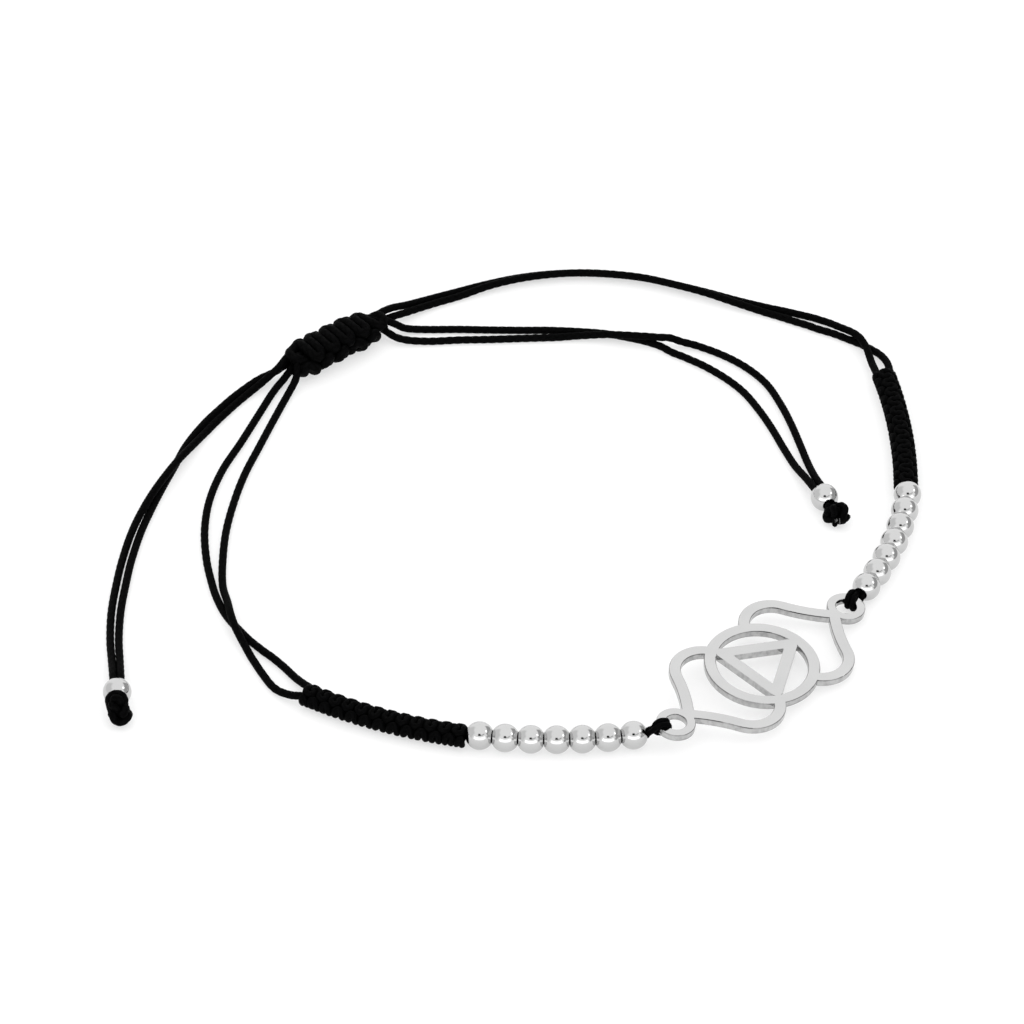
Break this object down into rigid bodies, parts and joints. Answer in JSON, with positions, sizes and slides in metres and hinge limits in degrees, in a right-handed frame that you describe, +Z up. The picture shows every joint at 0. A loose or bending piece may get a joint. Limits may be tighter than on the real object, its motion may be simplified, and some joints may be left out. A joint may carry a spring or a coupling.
{
  "type": "cord bracelet",
  "caption": "Adjustable knotted cord bracelet with a pierced ring-and-petal connector, rows of round beads and a sliding knot with beaded cord ends.",
  "frame": {"origin": "on the surface that the bracelet lies on, under the middle of the closed loop's own box, without the loose cord ends", "axes": "+Z up from the surface, which is the loop's shortest extent; -Y towards the front with the connector; +X to the wearer's right as seen from above with the front near"},
  "size_m": [0.0728, 0.0671, 0.003],
  "materials": {
    "silver": "polished sterling silver",
    "black_cord": "matt braided cord"
  },
  "bodies": {
    "root": {"pendant": "silver", "bead_left_1": "silver", "bead_left_2": "silver", "bead_left_3": "silver", "bead_left_4": "silver", "bead_left_5": "silver", "bead_left_6": "silver", "bead_left_7": "silver", "bead_right_1": "silver", "bead_right_2": "silver", "bead_right_3": "silver", "bead_right_4": "silver", "bead_right_5": "silver", "bead_right_6": "silver", "bead_right_7": "silver", "tail_bead_left": "silver", "tail_bead_right": "silver", "thread_left": "black_cord", "thread_right": "black_cord", "ring_tie_left": "black_cord", "ring_tie_right": "black_cord", "band_left": "black_cord", "band_right": "black_cord", "sliding_knot": "black_cord", "loop_cord_left_a": "black_cord", "loop_cord_left_b": "black_cord", "loop_cord_right_a": "black_cord", "loop_cord_right_b": "black_cord", "tail_cord_left_a": "black_cord", "tail_cord_left_b": "black_cord", "tail_cord_right_a": "black_cord", "tail_cord_right_b": "black_cord", "end_knot_left": "black_cord", "end_knot_right": "black_cord"}
  },
  "joints": []
}
